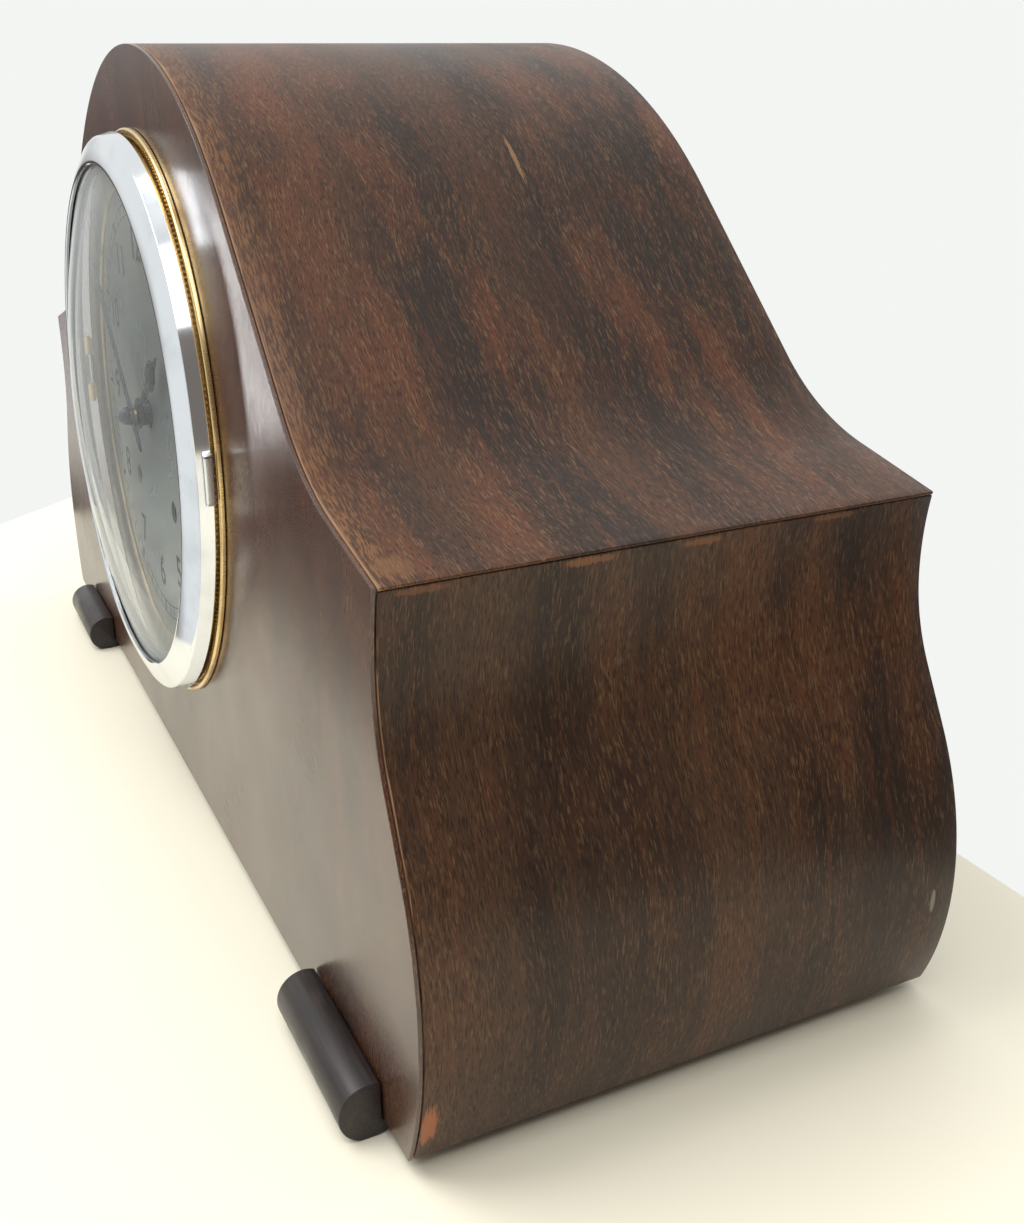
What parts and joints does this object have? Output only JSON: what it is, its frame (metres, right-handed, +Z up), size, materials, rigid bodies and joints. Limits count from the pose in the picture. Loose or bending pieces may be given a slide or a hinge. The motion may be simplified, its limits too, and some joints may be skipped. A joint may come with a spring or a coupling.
{
  "type": "mantel clock",
  "caption": "Humped wooden mantel clock with waisted sides, round-bar front feet and a domed chrome bezel over a silvered dial; pendulum striking movement.",
  "frame": {"origin": "centre of the object's box at the bottom of its feet", "axes": "+Z up, -Y towards the viewer in front of the dial, +X to the viewer's right"},
  "size_m": [0.4502, 0.1726, 0.2467],
  "materials": {
    "case_veneer": "satin",
    "front_veneer": "gloss",
    "carcase_wood": "matte",
    "foot_wood": "satin",
    "chrome": "polished",
    "glass": "clear",
    "retainer_black": "matte",
    "dial_brass": "polished",
    "silvered_dial": "satin",
    "hand_steel": "blued",
    "steel": "satin",
    "movement_brass": "satin"
  },
  "bodies": {
    "case": {"front_board": "front_veneer", "top_arch": "case_veneer", "side_panel_left": "case_veneer", "side_panel_right": "case_veneer", "base_board": "carcase_wood", "back_board": "case_veneer", "glue_block_front_left": "carcase_wood", "glue_block_front_right": "carcase_wood", "glue_block_back_left": "carcase_wood", "glue_block_back_right": "carcase_wood", "foot_front_left": "foot_wood", "foot_front_right": "foot_wood", "foot_rear_left": "foot_wood", "foot_rear_right": "foot_wood", "door_hinge_upper_case_leaf": "movement_brass", "door_hinge_lower_case_leaf": "movement_brass", "door_hinge_upper_pin": "steel", "door_hinge_lower_pin": "steel", "dial_ring": "dial_brass", "sight_ring": "dial_brass", "dial_plate": "silvered_dial", "bezel_hinge_bracket": "dial_brass", "bezel_hinge_pin": "steel", "movement_front_plate": "movement_brass", "movement_back_plate": "movement_brass", "movement_pillar_1": "movement_brass", "movement_pillar_2": "movement_brass", "movement_pillar_3": "movement_brass", "movement_pillar_4": "movement_brass", "movement_bracket_left": "steel", "movement_bracket_right": "steel", "suspension_cock": "movement_brass", "gong_block_and_rods": "steel"},
    "bezel": {"bezel_ring": "chrome", "bezel_glass": "glass", "glass_retainer": "retainer_black", "bezel_tab": "chrome", "bezel_hinge_arm": "chrome"},
    "back_door": {"back_door": "case_veneer", "door_hinge_upper_door_leaf": "movement_brass", "door_hinge_lower_door_leaf": "movement_brass"},
    "door_catch": {"door_catch": "movement_brass"},
    "minute": {"centre_wheel": "movement_brass", "minute_hand": "hand_steel", "hand_nut": "dial_brass"},
    "hour": {"hour_pipe": "movement_brass", "hour_wheel": "movement_brass", "hour_hand": "hand_steel"},
    "minute_wheel": {"minute_wheel": "movement_brass"},
    "third_wheel": {"third_wheel": "movement_brass"},
    "escape_wheel": {"escape_wheel": "movement_brass"},
    "time_barrel": {"time_barrel": "movement_brass"},
    "time_winder": {"time_winding_arbor": "steel"},
    "pallets": {"pallets": "steel"},
    "pendulum": {"pendulum_rod": "steel", "pendulum_bob": "movement_brass"},
    "strike_barrel": {"strike_barrel": "movement_brass"},
    "strike_winder": {"strike_winding_arbor": "steel"},
    "pin_wheel": {"strike_pin_wheel": "movement_brass"},
    "hammer": {"strike_hammer": "movement_brass"}
  },
  "joints": [
    {"name": "bezel_hinge", "type": "hinge", "parent": "case", "child": "bezel", "pos_m": [-0.0942, -0.0695, 0.12965], "axis": [0, 0, -1], "range_deg": [0, 110]},
    {"name": "back_door_hinge", "type": "hinge", "parent": "case", "child": "back_door", "pos_m": [-0.081, 0.0815, 0.064], "axis": [0, 0, 1], "range_deg": [0, 110]},
    {"name": "door_catch_turn", "type": "hinge", "parent": "back_door", "child": "door_catch", "pos_m": [0.07, 0.0793, 0.088], "axis": [0, 1, 0], "range_deg": [0, 90]},
    {"name": "minute_arbor", "type": "hinge", "parent": "case", "child": "minute", "pos_m": [0, -0.0649, 0.12965], "axis": [0, 1, 0], "continuous": true},
    {"name": "hour_pipe_turn", "type": "hinge", "parent": "case", "child": "hour", "pos_m": [0, -0.0649, 0.12965], "axis": [0, 1, 0], "continuous": true},
    {"name": "minute_wheel_stud", "type": "hinge", "parent": "case", "child": "minute_wheel", "pos_m": [0.017, -0.0649, 0.12965], "axis": [0, 1, 0], "continuous": true},
    {"name": "third_arbor", "type": "hinge", "parent": "case", "child": "third_wheel", "pos_m": [-0.014, -0.0649, 0.15165], "axis": [0, 1, 0], "continuous": true},
    {"name": "escape_arbor", "type": "hinge", "parent": "case", "child": "escape_wheel", "pos_m": [0.004, -0.0649, 0.16965], "axis": [0, 1, 0], "continuous": true},
    {"name": "time_barrel_turn", "type": "hinge", "parent": "case", "child": "time_barrel", "pos_m": [0.027, -0.0649, 0.10265], "axis": [0, 1, 0], "continuous": true},
    {"name": "time_winding_turn", "type": "hinge", "parent": "case", "child": "time_winder", "pos_m": [0.027, -0.0649, 0.10265], "axis": [0, 1, 0], "continuous": true},
    {"name": "pallet_arbor", "type": "hinge", "parent": "case", "child": "pallets", "pos_m": [0.004, -0.0649, 0.18805], "axis": [0, 1, 0], "range_deg": [-3, 3]},
    {"name": "pendulum_swing", "type": "hinge", "parent": "case", "child": "pendulum", "pos_m": [0.004, -0.0649, 0.18805], "axis": [0, 1, 0], "range_deg": [-3, 3]},
    {"name": "strike_barrel_turn", "type": "hinge", "parent": "case", "child": "strike_barrel", "pos_m": [-0.027, -0.0649, 0.10265], "axis": [0, 1, 0], "continuous": true},
    {"name": "strike_winding_turn", "type": "hinge", "parent": "case", "child": "strike_winder", "pos_m": [-0.027, -0.0649, 0.10265], "axis": [0, 1, 0], "continuous": true},
    {"name": "pin_wheel_arbor", "type": "hinge", "parent": "case", "child": "pin_wheel", "pos_m": [-0.037, -0.0649, 0.1395], "axis": [0, 1, 0], "continuous": true},
    {"name": "hammer_lift", "type": "hinge", "parent": "case", "child": "hammer", "pos_m": [0.044, -0.0649, 0.08565], "axis": [0, -1, 0], "range_deg": [0, 15]}
  ],
  "couplings": [
    {"joint": "hour_pipe_turn", "follows": "minute_arbor", "ratio": 0.083333},
    {"joint": "minute_wheel_stud", "follows": "minute_arbor", "ratio": -0.33333},
    {"joint": "third_arbor", "follows": "minute_arbor", "ratio": -6},
    {"joint": "escape_arbor", "follows": "minute_arbor", "ratio": 36},
    {"joint": "time_barrel_turn", "follows": "minute_arbor", "ratio": -0.16667},
    {"joint": "pallet_arbor", "follows": "pendulum_swing", "ratio": 1},
    {"joint": "pin_wheel_arbor", "follows": "strike_barrel_turn", "ratio": -6}
  ]
}
